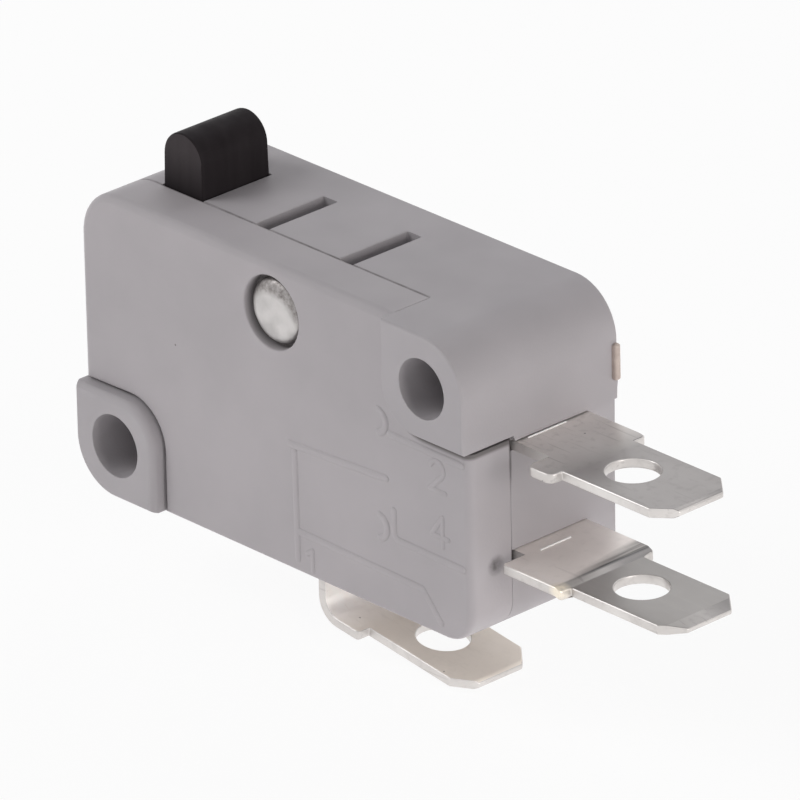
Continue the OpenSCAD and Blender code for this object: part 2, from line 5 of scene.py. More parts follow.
import bmesh
import bpy
from mathutils import Matrix, Vector


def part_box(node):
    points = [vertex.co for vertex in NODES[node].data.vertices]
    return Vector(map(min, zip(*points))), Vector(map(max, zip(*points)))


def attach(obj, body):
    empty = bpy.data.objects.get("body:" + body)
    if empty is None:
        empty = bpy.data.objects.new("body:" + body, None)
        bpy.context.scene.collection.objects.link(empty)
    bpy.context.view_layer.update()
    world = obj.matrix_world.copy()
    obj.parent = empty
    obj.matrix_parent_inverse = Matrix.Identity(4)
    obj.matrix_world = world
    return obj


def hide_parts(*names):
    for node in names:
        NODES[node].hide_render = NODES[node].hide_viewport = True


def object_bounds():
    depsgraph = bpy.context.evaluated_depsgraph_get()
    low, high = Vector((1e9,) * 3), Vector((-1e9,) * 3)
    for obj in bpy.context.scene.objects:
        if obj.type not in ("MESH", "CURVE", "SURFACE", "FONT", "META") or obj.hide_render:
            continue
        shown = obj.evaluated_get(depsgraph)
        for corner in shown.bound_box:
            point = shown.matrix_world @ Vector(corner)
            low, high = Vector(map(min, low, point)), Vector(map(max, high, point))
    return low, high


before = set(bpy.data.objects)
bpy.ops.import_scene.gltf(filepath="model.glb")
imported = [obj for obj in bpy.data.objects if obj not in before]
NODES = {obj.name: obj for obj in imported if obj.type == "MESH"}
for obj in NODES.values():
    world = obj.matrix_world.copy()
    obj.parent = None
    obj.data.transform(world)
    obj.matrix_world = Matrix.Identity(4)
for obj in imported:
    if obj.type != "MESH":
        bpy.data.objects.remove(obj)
cad_low, cad_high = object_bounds()

MM = 0.001

# Planes that the case is bounded by, in millimetres
FRONT_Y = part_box("housing")[0].y / MM
BACK_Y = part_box("housing")[1].y / MM
FACE_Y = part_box("cover")[0].y / MM
PART_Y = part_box("cover")[1].y / MM
END_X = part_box("cover")[1].x / MM
FLOOR_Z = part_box("cover")[0].z / MM
ROOF_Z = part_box("cover")[1].z / MM

# Axes of the holes and the rivet across the case, and the middle of the case
LOWER_HOLE = Vector((0, 0, 0))
UPPER_HOLE = Vector((22.2, 0, 10.3))
RIVET_AXIS = Vector((11.0, 0, 10.5))
CASE_MIDDLE = Vector((11.0, 0, 5.15))

# Slots in the roof, the cover's cut-out for the boss, the boss's lower edge and the stub on its end
SLOTS_X = (7.0, 12.95)
SLOT_W = 1
BOSS_X = 19.28
BOSS_Z = 7.53
BOSS_CORNER = Vector((21.6, 0, 9.85))
LIP_Z = 7.65
GATE_X = 25.03

# Tolerance for a place, and the least angle of a sharp edge in degrees
NEAR = 0.02
SHARP = 28


# Working in object and edit mode

def select_only(piece):
    """Makes one piece the only selected and the active one."""
    bpy.ops.object.select_all(action="DESELECT")
    piece.select_set(True)
    bpy.context.view_layer.objects.active = piece


def start_edit(piece, mode="EDGE"):
    """Opens a piece in edit mode with nothing selected."""
    select_only(piece)
    bpy.ops.object.mode_set(mode="EDIT")
    bpy.ops.mesh.select_mode(type=mode)
    bpy.ops.mesh.select_all(action="DESELECT")
    return bmesh.from_edit_mesh(piece.data)


def end_edit():
    """Goes back to object mode."""
    bpy.ops.object.mode_set(mode="OBJECT")


def cut_flat(piece, axis, place):
    """Runs a line of edges round a piece, in the plane square to an axis."""
    start_edit(piece, "VERT")
    bpy.ops.mesh.select_all(action="SELECT")
    plane = [Vector((0, 0, 0)), Vector((0, 0, 0))]
    plane[0][axis] = place * MM
    plane[1][axis] = 1
    bpy.ops.mesh.bisect(plane_co=plane[0], plane_no=plane[1])
    end_edit()


def in_plane(axis, place):
    """Test for edges that lie in one plane square to an axis."""
    return lambda a, b: abs(a[axis] - place) < NEAR and abs(b[axis] - place) < NEAR


def merged_copy(node, name, cuts=(), weld=0.001):
    """Copy of a CAD node as a piece of its own, its loose triangles merged to whole faces.

    The cuts are (axis, place) pairs that split faces with a hole through the hole's middle. Points
    closer than the weld become one.
    """
    piece = bpy.data.objects.new(name, NODES[node].data.copy())
    bpy.context.scene.collection.objects.link(piece)
    piece.data.materials.clear()
    start_edit(piece, "VERT")
    bpy.ops.mesh.select_all(action="SELECT")
    bpy.ops.mesh.customdata_custom_splitnormals_clear()
    bpy.ops.mesh.remove_doubles(threshold=weld * MM)
    end_edit()
    for axis, place in cuts:
        cut_flat(piece, axis, place)
    body = start_edit(piece)
    for edge in body.edges:
        ends = [v.co / MM for v in edge.verts]
        on_cut = any(in_plane(axis, place)(*ends) for axis, place in cuts)
        if edge.calc_face_angle() < math.radians(0.5) and not on_cut:
            edge.select_set(True)
    bmesh.update_edit_mesh(piece.data)
    bpy.ops.mesh.dissolve_edges(use_verts=True)
    end_edit()
    return piece


def faces_out(edge, middle):
    """True if a wall at this edge looks away from the middle of the case."""
    away = middle - CASE_MIDDLE
    return any(abs(f.normal.y) < 0.5 and f.normal.dot(away) > 0 for f in edge.link_faces)


def pick_edges(piece, chosen):
    """Opens a piece with the sharp edges selected that pass a test of the edge, its middle and its ends."""
    body = start_edit(piece)
    for edge in body.edges:
        if len(edge.link_faces) == 2 and edge.calc_face_angle() > math.radians(SHARP):
            a, b = (v.co / MM for v in edge.verts)
            if chosen(edge, (a + b) / 2, a, b):
                edge.select_set(True)
    bmesh.update_edit_mesh(piece.data)


def round_unevenly(piece, radius, chosen, share, less, segments):
    """Rounds chosen edges, and those that pass the second test by a share of the radius only."""
    pick_edges(piece, chosen)
    bpy.ops.transform.edge_bevelweight(value=1)
    end_edit()
    pick_edges(piece, less)
    bpy.ops.transform.edge_bevelweight(value=share - 1)
    end_edit()
    soft = piece.modifiers.new("soft_edges", "BEVEL")
    soft.limit_method = "WEIGHT"
    soft.width = radius * MM
    soft.segments = segments
    soft.use_clamp_overlap = False
    bpy.ops.object.modifier_apply(modifier=soft.name)


def round_edges(piece, radius, chosen, segments):
    """Rounds the sharp edges that pass a test."""
    pick_edges(piece, chosen)
    bpy.ops.mesh.bevel(offset=radius * MM, offset_type="OFFSET", segments=segments, profile=0.5,
                       affect="EDGES", clamp_overlap=False)
    end_edit()


def pick_points(piece, chosen):
    """Opens a piece with the points selected that pass a test of their place, in millimetres."""
    body = start_edit(piece, "VERT")
    for point in body.verts:
        if chosen(point.co / MM):
            point.select_set(True)
    body.select_flush_mode()
    bmesh.update_edit_mesh(piece.data)


def move_points(piece, chosen, step):
    """Moves the points that pass a test by a step in millimetres."""
    pick_points(piece, chosen)
    bpy.ops.transform.translate(value=Vector(step) * MM)
    end_edit()


def scale_points(piece, chosen, shares, centre):
    """Scales the points that pass a test about a centre, by a share along each axis."""
    pick_points(piece, chosen)
    bpy.ops.transform.resize(value=shares, center_override=centre * MM)
    end_edit()


def smooth(piece, angle=32):
    """Smooth shading across rounded edges, with the flat faces kept flat."""
    select_only(piece)
    bpy.ops.object.shade_smooth_by_angle(angle=math.radians(angle))
    weighted = piece.modifiers.new("flat_faces", "WEIGHTED_NORMAL")
    weighted.keep_sharp = True
    bpy.ops.object.modifier_apply(modifier=weighted.name)


def join(pieces):
    """Joins pieces to the first of them."""
    bpy.ops.object.select_all(action="DESELECT")
    for piece in pieces:
        piece.select_set(True)
    bpy.context.view_layer.objects.active = pieces[0]
    bpy.ops.object.join()
    return pieces[0]


# How deep a ridge is sunk into its face, and where the points of its round ends lie
SUNK = 0.03
END_TURNS = [math.radians(turn) for turn in (30, 55, 75, 87)]


def close_up(piece):
    """Joins the loose sheets of a converted curve to one skin that looks outwards."""
    start_edit(piece, "VERT")
    bpy.ops.mesh.select_all(action="SELECT")
    bpy.ops.mesh.remove_doubles(threshold=0.001 * MM)
    bpy.ops.mesh.normals_make_consistent(inside=False)
    end_edit()


def make_bead(points, width, height, out):
    """Half-round ridge along a line of points in a face that looks out along an axis."""

    def cap(tip, inner):
        past = (tip - inner).normalized() * width / 2
        return [(tip + math.sin(turn) * past, math.cos(turn)) for turn in END_TURNS]

    spine = [*reversed(cap(points[0], points[1])), *((point, 1) for point in points),
             *cap(points[-1], points[-2])]
    curve = bpy.data.curves.new("ridge", "CURVE")
    curve.dimensions = "3D"
    curve.bevel_depth = width / 2 * MM
    curve.bevel_resolution = 4
    curve.use_fill_caps = True
    line = curve.splines.new("POLY")
    line.points.add(len(spine) - 1)
    for spot, (point, thickness) in zip(line.points, spine):
        spot.co = (*(point * MM), 1)
        spot.radius = thickness
    ridge = bpy.data.objects.new("ridge", curve)
    bpy.context.scene.collection.objects.link(ridge)
    select_only(ridge)
    bpy.ops.object.convert(target="MESH")
    close_up(ridge)
    start_edit(ridge, "VERT")
    bpy.ops.mesh.select_all(action="SELECT")
    squeeze = [2 * height / width if axis else 1 for axis in out]
    bpy.ops.transform.resize(value=squeeze, center_override=points[0] * MM)
    bpy.ops.mesh.select_all(action="SELECT")
    bpy.ops.mesh.bisect(plane_co=(points[0] - SUNK * out) * MM, plane_no=-out, clear_outer=True,
                        use_fill=True, threshold=0.0001 * MM)
    bpy.ops.mesh.select_all(action="SELECT")
    bpy.ops.mesh.dissolve_degenerate(threshold=0.001 * MM)
    end_edit()
    return ridge


def dress(piece, body, slot, *materials):
    """Gives a piece its materials and its body; the slot is not used."""
    piece.data.materials.clear()
    for material in materials:
        piece.data.materials.append(material)
    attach(piece, body)


# Materials

# Colours of painted shade in crevices, of dirt and wear, and of the rivet's darker rim, and where they lie on
# the rivet and by the lower blade, in millimetres
CREVICE_SHADE = (0.15, 0.138, 0.138)
SPECK = (0.2, 0.185, 0.185)
DARKER_RIM = (0.16, 0.145, 0.14)
YELLOWED = (0.84, 0.76, 0.63)
DARKER_RIM_AWAY_FROM = Vector((10.86, -4.25, 9.68))
YELLOWED_AT = Vector((29.3, -3.0, 1.3))
BLADE_ROOT = Vector((END_X, -2.85, 1.1))


def start_material(name, roughness, metallic=0.0):
    """New material, with its node tree, its shader and the place on the object."""
    material = bpy.data.materials.new(name)
    material.use_nodes = True
    tree = material.node_tree
    shader = tree.nodes["Principled BSDF"]
    shader.inputs["Roughness"].default_value = roughness
    shader.inputs["Metallic"].default_value = metallic
    place = tree.nodes.new("ShaderNodeTexCoord")
    return material, tree, shader, place.outputs["Object"]


def noise(tree, place, scale, detail=2.0, stretch=None):
    """Noise on object coordinates; stretch scales each axis first."""
    node = tree.nodes.new("ShaderNodeTexNoise")
    node.inputs["Scale"].default_value = scale
    node.inputs["Detail"].default_value = detail
    if stretch:
        mapping = tree.nodes.new("ShaderNodeMapping")
        mapping.inputs["Scale"].default_value = stretch
        tree.links.new(place, mapping.inputs["Vector"])
        place = mapping.outputs["Vector"]
    tree.links.new(place, node.inputs["Vector"])
    return node.outputs["Fac"]


def ramp(tree, value, low, high, dark, light):
    """Colours from dark to light while a value goes from low to high."""
    node = tree.nodes.new("ShaderNodeValToRGB")
    node.color_ramp.elements[0].position = low
    node.color_ramp.elements[1].position = high
    node.color_ramp.elements[0].color = (*dark, 1)
    node.color_ramp.elements[1].color = (*light, 1)
    tree.links.new(value, node.inputs["Fac"])
    return node.outputs["Color"]


def spread(tree, value, low, high, start=0.3, end=0.7):
    """A noise value turned into a range of numbers, from one level of the noise to another."""
    node = tree.nodes.new("ShaderNodeMapRange")
    node.inputs["From Min"].default_value = start
    node.inputs["From Max"].default_value = end
    node.inputs["To Min"].default_value = low
    node.inputs["To Max"].default_value = high
    tree.links.new(value, node.inputs["Value"])
    return node.outputs["Result"]


def mix(tree, factor, first, second, blend="MIX"):
    """Second colour over the first, by a factor."""
    node = tree.nodes.new("ShaderNodeMix")
    node.data_type = "RGBA"
    node.blend_type = blend
    tree.links.new(factor, node.inputs[0])
    for socket, colour in ((node.inputs[6], first), (node.inputs[7], second)):
        if isinstance(colour, tuple):
            socket.default_value = (*colour, 1)
        else:
            tree.links.new(colour, socket)
    return node.outputs[2]


def bump(tree, shader, height, depth):
    """Fine relief, its depth in millimetres."""
    node = tree.nodes.new("ShaderNodeBump")
    node.inputs["Distance"].default_value = depth * MM
    tree.links.new(height, node.inputs["Height"])
    tree.links.new(node.outputs["Normal"], shader.inputs["Normal"])


def reckon(tree, operation, *values):
    """Result of a math node on numbers or other nodes' values."""
    node = tree.nodes.new("ShaderNodeMath")
    node.operation = operation
    for socket, value in zip(node.inputs, values):
        if isinstance(value, (int, float)):
            socket.default_value = value
        else:
            tree.links.new(value, socket)
    return node.outputs["Value"]


def product(tree, *values):
    """Product of two or more values."""
    result = values[0]
    for value in values[1:]:
        result = reckon(tree, "MULTIPLY", result, value)
    return result


def diagonal(tree, across, up):
    """Length of the slope over two lengths at right angles."""
    squares = [reckon(tree, "POWER", length, 2) for length in (across, up)]
    return reckon(tree, "SQRT", reckon(tree, "ADD", *squares))


def darker(colour, share):
    """A share of a colour's light."""
    return tuple(share * part for part in colour)


def axes(tree, place):
    """The X, Y and Z of a place, by name."""
    node = tree.nodes.new("ShaderNodeSeparateXYZ")
    tree.links.new(place, node.inputs["Vector"])
    return node.outputs


def distance(tree, place, spot):
    """Distance of a place from a spot given in millimetres."""
    node = tree.nodes.new("ShaderNodeVectorMath")
    node.operation = "DISTANCE"
    node.inputs[1].default_value = spot * MM
    tree.links.new(place, node.inputs[0])
    return node.outputs["Value"]


def specks(tree, place, cell, size):
    """Sparse dots of dirt: 1 inside a dot, 0 elsewhere."""
    node = tree.nodes.new("ShaderNodeTexVoronoi")
    node.inputs["Scale"].default_value = 1 / (cell * MM)
    tree.links.new(place, node.inputs["Vector"])
    return reckon(tree, "LESS_THAN", node.outputs["Distance"], size / cell)


def fade(tree, value, start, end):
    """0 to 1 while a length goes from start to end, in millimetres."""
    node = tree.nodes.new("ShaderNodeMapRange")
    node.inputs["From Min"].default_value = start * MM
    node.inputs["From Max"].default_value = end * MM
    tree.links.new(value, node.inputs["Value"])
    return node.outputs["Result"]


def near_spot(tree, place, spot, inner, outer, ragged):
    """1 within a distance of a spot, 0 outside a larger one, in millimetres, ragged between by a noise."""
    close = fade(tree, distance(tree, place, spot), outer, inner)
    return product(tree, close, spread(tree, ragged, 0.4, 1))


def boss_foot(tree, place):
    """Painted shade: 1 in the crevice along the lower side of the boss, 0 a little way off."""
    at = axes(tree, place)
    across = reckon(tree, "MAXIMUM", reckon(tree, "SUBTRACT", BOSS_CORNER.x * MM, at["X"]), 0)
    down = reckon(tree, "MAXIMUM", reckon(tree, "SUBTRACT", BOSS_CORNER.z * MM, at["Z"]), 0)
    return product(tree, fade(tree, diagonal(tree, across, down), 2.82, 2.64), fade(tree, down, 0.9, 1.9))


def halves_seam(tree, place):
    """Painted shade: towards 1 in the seam of the two halves, along the roof and high up the end, 0
    elsewhere, made uneven by a noise.
    """
    at = axes(tree, place)
    apart = reckon(tree, "ABSOLUTE", reckon(tree, "SUBTRACT", at["Y"], PART_Y * MM))
    on_roof = product(tree, fade(tree, at["Z"], ROOF_Z - 0.3, ROOF_Z - 0.15),
                      fade(tree, at["X"], BOSS_X + 0.1, BOSS_X))
    up_end = product(tree, fade(tree, at["X"], END_X - 0.4, END_X - 0.25), fade(tree, at["Z"], 4.4, 5.8),
                     fade(tree, at["Z"], BOSS_Z, BOSS_Z - 0.05))
    uneven = spread(tree, noise(tree, place, 900, 3), 0.4, 0.85)
    return product(tree, uneven, fade(tree, apart, 0.12, 0.05), reckon(tree, "MAXIMUM", on_roof, up_end))


def rivet_recess(tree, place):
    """Painted shade: towards 1 down in the recess round the rivet, 0 on the face."""
    at = axes(tree, place)
    across = reckon(tree, "SUBTRACT", at["X"], RIVET_AXIS.x * MM)
    up = reckon(tree, "SUBTRACT", at["Z"], RIVET_AXIS.z * MM)
    by_rivet = fade(tree, diagonal(tree, across, up), 2.4, 2.3)
    return product(tree, by_rivet, fade(tree, at["Y"], FACE_Y + 0.02, FACE_Y + 0.8))


def blade_root(tree, place):
    """Painted shade: 1 in the corner where the lower blade leaves the cover, 0 a little way off."""
    return near_spot(tree, place, BLADE_ROOT, 0.15, 0.6, noise(tree, place, 3000, 3))


def moulded_grey(name, dark, light, *crevices):
    """Satin moulded plastic: cloudy tone, fine spark-eroded skin, a few specks, painted shade in crevices."""
    material, tree, shader, place = start_material(name, 0.5)
    shader.inputs["Specular IOR Level"].default_value = 0.15
    tone = ramp(tree, noise(tree, place, 170, 3), 0.35, 0.65, dark, light)
    # Painted shade: each crevice mask darkens the tone towards a dark grey
    for crevice in crevices:
        tone = mix(tree, crevice(tree, place), tone, CREVICE_SHADE)
    tone = mix(tree, specks(tree, place, 3.7, 0.055), tone, SPECK)
    tree.links.new(tone, shader.inputs["Base Color"])
    tree.links.new(spread(tree, noise(tree, place, 420), 0.44, 0.56), shader.inputs["Roughness"])
    bump(tree, shader, noise(tree, place, 7000, 3), 0.006)
    return material


def moulded_black():
    """Black satin plastic of the push button: faint draw marks along its travel, and painted light that
    makes its flat ends above the roof paler than its sides.
    """
    material, tree, shader, place = start_material("button_black", 0.5)
    shader.inputs["Specular IOR Level"].default_value = 0.03
    marks = noise(tree, place, 900, 3, (1, 1, 0.08))
    sides = ramp(tree, marks, 0.3, 0.75, (0.017, 0.0141, 0.0154), (0.027, 0.0231, 0.0251))
    ends = ramp(tree, marks, 0.3, 0.75, (0.048, 0.041, 0.043), (0.061, 0.053, 0.056))
    outward = axes(tree, tree.nodes.new("ShaderNodeTexCoord").outputs["Normal"])
    flat_end = reckon(tree, "GREATER_THAN", reckon(tree, "ABSOLUTE", outward["Y"]), 0.8)
    raised = fade(tree, axes(tree, place)["Z"], ROOF_Z - 0.2, ROOF_Z + 2.2)
    # Painted light: the flat ends above the roof take the paler tone
    tone = mix(tree, product(tree, flat_end, raised), sides, ends)
    tree.links.new(tone, shader.inputs["Base Color"])
    tree.links.new(spread(tree, noise(tree, place, 1500), 0.44, 0.58), shader.inputs["Roughness"])
    bump(tree, shader, noise(tree, place, 6000, 3), 0.006)
    return material


def rubbed(tree, place, wear):
    """Small dull dabs and fine scratches along the strip: 0 on clean plating, up to the wear in a mark."""
    dab = spread(tree, noise(tree, place, 2300, 5), 0, 0.7 * wear, 0.54, 0.74)
    scratch = spread(tree, noise(tree, place, 3600, 2, (0.07, 1, 1)), 0, wear, 0.62, 0.72)
    return reckon(tree, "MAXIMUM", dab, scratch)


def dark_bend_reflection(tree, place):
    """Where a streaky dark reflection is painted on the lower blade's plating: before its joggle, wider
    towards the back.
    """
    at = axes(tree, place)
    slanted = reckon(tree, "MULTIPLY_ADD", at["Y"], 0.16, at["X"])
    streaks = spread(tree, noise(tree, place, 7000, 3, (1, 0.04, 0.04)), 0.6, 1)
    return product(tree, fade(tree, slanted, 28.4, 29.0), fade(tree, at["X"], 29.2, 29.08),
                   fade(tree, at["Y"], -2.5, -1.2), streaks)


def plated_face(name, dull, bright, roughness, metallic, painted_gradient=None, wear=0.3, mark=None):
    """Plated strip: rolled grain along its length, cloudy tarnish, rubbed marks, pits, a yellowed corner.

    The painted gradient multiplies the tone by a tint along an axis, from a start to an end in millimetres,
    as painted light and shade. The mark is a function that gives where a dark reflection is painted on the
    plating.
    """
    material, tree, shader, place = start_material(name, roughness, metallic)
    tone = ramp(tree, noise(tree, place, 260, 3), 0.3, 0.72, dull, bright)
    # Painted light and shade: the tone multiplied by a tint along one axis
    if painted_gradient:
        axis, start, end, tint = painted_gradient
        tone = mix(tree, fade(tree, axes(tree, place)[axis], start, end), tone, tint, "MULTIPLY")
    tone = mix(tree, rubbed(tree, place, wear), tone, darker(dull, 0.45))
    # Painted dark reflection where the mark lies
    if mark:
        tone = mix(tree, mark(tree, place), tone, darker(dull, 0.06))
    tone = mix(tree, specks(tree, place, 1.7, 0.05), tone, darker(dull, 0.5))
    stain = near_spot(tree, place, YELLOWED_AT, 0.3, 0.7, noise(tree, place, 3000, 3))
    tree.links.new(mix(tree, stain, tone, YELLOWED), shader.inputs["Base Color"])
    grain = noise(tree, place, 700, 4, (0.12, 1.0, 1.0))
    tree.links.new(spread(tree, grain, roughness - 0.05, roughness + 0.07), shader.inputs["Roughness"])
    bump(tree, shader, reckon(tree, "MULTIPLY_ADD", noise(tree, place, 420, 2), 6, grain), 0.005)
    return material


def worked_metal():
    """Bright aluminium, scuffed by the setting tool, and darker in a ragged band over the upper side of the
    front head.
    """
    material, tree, shader, place = start_material("rivet_bright", 0.42, 0.8)
    scuff = noise(tree, place, 1300, 5)
    bright = ramp(tree, scuff, 0.35, 0.65, (0.376, 0.363, 0.359), (0.49, 0.4725, 0.468))
    rim = fade(tree, distance(tree, place, DARKER_RIM_AWAY_FROM), 1.57, 1.95)
    in_front = fade(tree, axes(tree, place)["Y"], -2, -3)
    rim_darkening = product(tree, rim, in_front, spread(tree, noise(tree, place, 5200, 3), 0.45, 1))
    tree.links.new(mix(tree, rim_darkening, bright, DARKER_RIM), shader.inputs["Base Color"])
    tree.links.new(spread(tree, noise(tree, place, 2600, 4), 0.36, 0.55), shader.inputs["Roughness"])
    bump(tree, shader, noise(tree, place, 1900, 4), 0.015)
    return material


def torn_plastic():
    """Rough warm scar where the moulding was broken off its runner."""
    material, tree, shader, place = start_material("gate_scar", 0.6)
    tone = ramp(tree, noise(tree, place, 2500, 3), 0.3, 0.7, (0.47, 0.385, 0.345), (0.58, 0.49, 0.445))
    tree.links.new(tone, shader.inputs["Base Color"])
    bump(tree, shader, noise(tree, place, 4000, 4), 0.03)
    return material


def plain_inside(name, colour, roughness, metallic):
    """Finish of a piece inside the case, with a slight cloud in its tone."""
    material, tree, shader, place = start_material(name, roughness, metallic)
    tone = ramp(tree, noise(tree, place, 500, 2), 0.3, 0.7, darker(colour, 0.9), colour)
    tree.links.new(tone, shader.inputs["Base Color"])
    return material


CASE = moulded_grey("case_grey", (0.39, 0.369, 0.384), (0.421, 0.398, 0.414), halves_seam)
COVER = moulded_grey("cover_grey", (0.4, 0.377, 0.392), (0.431, 0.405, 0.421), boss_foot,
                     halves_seam, blade_root, rivet_recess)
BUTTON = moulded_black()
# Upper blade's plating, its tone multiplied up to 3.2 times towards the case: painted light at its root
STRIP = plated_face("plated_strip", (0.254, 0.237, 0.232), (0.297, 0.281, 0.276), 0.34, 0.5,
                    ("X", 29.5, 25.5, (3.2, 3.23, 3.16)))
# Lower blade's plating: pale by the case and a third as light past the joggle, painted light at its root,
# with a painted dark reflection before the joggle
STRIP_PALE = plated_face("plated_strip_pale", (0.81, 0.752, 0.717), (0.911, 0.855, 0.82), 0.34, 0.33,
                         ("X", 28.95, 29.1, (0.336, 0.341, 0.345)), 0.15, dark_bend_reflection)
# Common blade's plating, paler towards and round its bend: painted reflection
STRIP_WARM = plated_face("plated_strip_warm", (0.785, 0.718, 0.641), (0.871, 0.813, 0.737), 0.5, 0.3,
                         ("X", 15.5, 13.4, (1.226, 1.28, 1.376)), 0.1)
STRIP_OUTSIDE = plated_face("plated_strip_outside", (0.46, 0.425, 0.39), (0.54, 0.505, 0.465), 0.4, 0.4)
CUT = plated_face("cut_edge", (0.5, 0.473, 0.459), (0.635, 0.613, 0.595), 0.36, 0.6)
# Darker copy of the plating on the tip bevels and the joggle, darker still towards the back, with the lower
# blade's dark band: painted dark reflection
TIP = plated_face("tip_bevel", (0.325, 0.308, 0.299), (0.391, 0.371, 0.362), 0.38, 0.3,
                  ("Y", 0, 1.6, (0.6, 0.6, 0.605)), mark=dark_bend_reflection)
# Near-white plating on the ribs by the case: a painted highlight
RIB = plated_face("painted_highlight_rib", (0.9, 0.88, 0.87), (0.96, 0.95, 0.94), 0.3, 0.1)
RIVET = worked_metal()
SCAR = torn_plastic()
LEVER = plain_inside("lever_natural", (0.58, 0.55, 0.48), 0.5, 0)
WIRE = plain_inside("spring_wire", (0.45, 0.46, 0.47), 0.3, 1)
ROLLED = plain_inside("blade_copper", (0.72, 0.47, 0.25), 0.32, 1)
SILVER = plain_inside("contact_silver", (0.82, 0.8, 0.76), 0.28, 1)


# Moulded halves of the case

def from_axis(point, axis):
    """Distance of a point from an axis that runs across the case."""
    return math.hypot(point.x - axis.x, point.z - axis.z)


def by_lug(middle):
    """True in the corner of the case that the lug takes up."""
    return middle.x < 3.2 and middle.z < 3.1


def by_boss(middle):
    """True in the corner of the case that the boss takes up."""
    return middle.x > 19 and middle.z > 7.2


def in_slot(middle):
    """True at the two slots in the roof."""
    return middle.z > ROOF_Z - 1.3 and any(x - NEAR < middle.x < x + SLOT_W + NEAR for x in SLOTS_X)


def outer_seam(edge, middle, a, b):
    """Edges of the parting plane that show outside."""
    return in_plane(1, PART_Y)(a, b) and faces_out(edge, middle)


# How far the boss's lower edge is drawn down, and the length of the slope by the seam
LIP_DROP = 0.29
LIP_SLOPE = 0.1


def draw_lip_down(housing):
    """Brings the boss's end wall down to the upper blade, behind the seam only."""

    def lip(at):
        return at.x > END_X + 0.1 and abs(at.z - LIP_Z) < NEAR and at.y > PART_Y + LIP_SLOPE / 2

    for place in (PART_Y, PART_Y + LIP_SLOPE):
        body = start_edit(housing, "FACE")
        for face in body.faces:
            middle = face.calc_center_median() / MM
            if middle.z > 7 and (face.normal.x > 0.9 and middle.x > END_X + 0.1 or face.normal.z < -0.9):
                face.select_set(True)
        bmesh.update_edit_mesh(housing.data)
        bpy.ops.mesh.bisect(plane_co=(0, place * MM, 0), plane_no=(0, 1, 0))
        end_edit()
    move_points(housing, lip, (0, 0, -LIP_DROP))


def make_housing():
    """Back half: soft lug, crisper boss, broken edges at the holes, the slots and the seam."""
    housing = merged_copy("housing", "case_half", [(0, LOWER_HOLE.x), (2, LOWER_HOLE.z), (0, UPPER_HOLE.x),
                                                   (2, UPPER_HOLE.z)])

    def lug_front(edge, middle, a, b):
        return in_plane(1, FRONT_Y)(a, b) and by_lug(middle) and from_axis(middle, LOWER_HOLE) > 2

    def lug_outside(edge, middle, a, b):
        return lug_front(edge, middle, a, b) and faces_out(edge, middle)

    def boss_front(edge, middle, a, b):
        return in_plane(1, FRONT_Y)(a, b) and by_boss(middle) and from_axis(middle, UPPER_HOLE) > 2

    def back_outline(edge, middle, a, b):
        return in_plane(1, BACK_Y)(a, b) and faces_out(edge, middle) and min(
            from_axis(middle, axis) for axis in (LOWER_HOLE, UPPER_HOLE, RIVET_AXIS)) > 2.5

    def lug_mouth(at):
        return abs(at.y - FRONT_Y) < NEAR and from_axis(at, LOWER_HOLE) < 1.6

    def hole_rim(edge, middle, a, b):
        return (in_plane(1, FRONT_Y)(a, b) or in_plane(1, BACK_Y)(a, b)) and min(
            from_axis(middle, axis) for axis in (LOWER_HOLE, UPPER_HOLE)) < 1.7

    def slot_end(edge, middle, a, b):
        return in_slot(middle) and middle.y > 2 and abs(a.z - b.z) > 0.5

    def slot_far_rim(edge, middle, a, b):
        on_rim = in_plane(2, ROOF_Z)(a, b) and in_slot(middle)
        return on_rim and any(f.normal.x > 0.3 for f in edge.link_faces)

    def roof_openings(edge, middle, a, b):
        return in_plane(2, ROOF_Z)(a, b) and -0.5 < middle.x < 15 and PART_Y + NEAR < middle.y < 4

    def stub(edge, middle, a, b):
        return middle.x > GATE_X and middle.y < BACK_Y - NEAR

    scale_points(housing, lug_mouth, (1.06, 1, 1.06), LOWER_HOLE)
    round_unevenly(housing, 0.45, lug_front, 0.25, lug_outside, 6)
    round_edges(housing, 0.12, boss_front, 3)
    round_edges(housing, 0.12, back_outline, 3)
    round_edges(housing, 0.06, hole_rim, 2)
    draw_lip_down(housing)
    round_edges(housing, 0.1, slot_end, 3)
    round_edges(housing, 0.06, slot_far_rim, 3)
    round_edges(housing, 0.04, roof_openings, 2)
    round_edges(housing, 0.06, outer_seam, 3)
    round_edges(housing, 0.12, stub, 3)
    smooth(housing)
    dress(housing, "case", "case_plastic", CASE, SCAR)
    for face in housing.data.polygons:
        face.material_index = 1 if face.center.x > GATE_X * MM else 0
    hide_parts("housing")


# Rounding of the cover's face, its share along the floor, and the lower corner of the outline
EDGE_R = 0.45
FLOOR_SHARE = 0.3
CORNER_R = 1.7
CORNER_STEPS = 11
CORNER = Vector((END_X - CORNER_R, 0, FLOOR_Z + CORNER_R))


def tighten_floor_edge(cover):
    """Draws the rounding of the face's edge in along the floor, by degrees round the lower corner."""

    def in_ring(degrees):
        def test(at):
            turn, reach = -90, CORNER.z - at.z
            if at.x > CORNER.x + NEAR:
                turn = math.degrees(math.atan2(at.z - CORNER.z, at.x - CORNER.x))
                reach = from_axis(at, CORNER)
            in_rounding = at.y < FACE_Y + EDGE_R + NEAR and reach > CORNER_R - EDGE_R - NEAR
            return in_rounding and abs(turn - degrees) < 2
        return test

    for step in range(CORNER_STEPS):
        degrees = 90 * step / CORNER_STEPS - 90
        share = FLOOR_SHARE + (1 - FLOOR_SHARE) * step / CORNER_STEPS
        turn = math.radians(degrees)
        sharp = CORNER + CORNER_R * Vector((math.cos(turn), 0, math.sin(turn))) + Vector((0, FACE_Y, 0))
        scale_points(cover, in_ring(degrees), (share if step else 1, share, share), sharp)


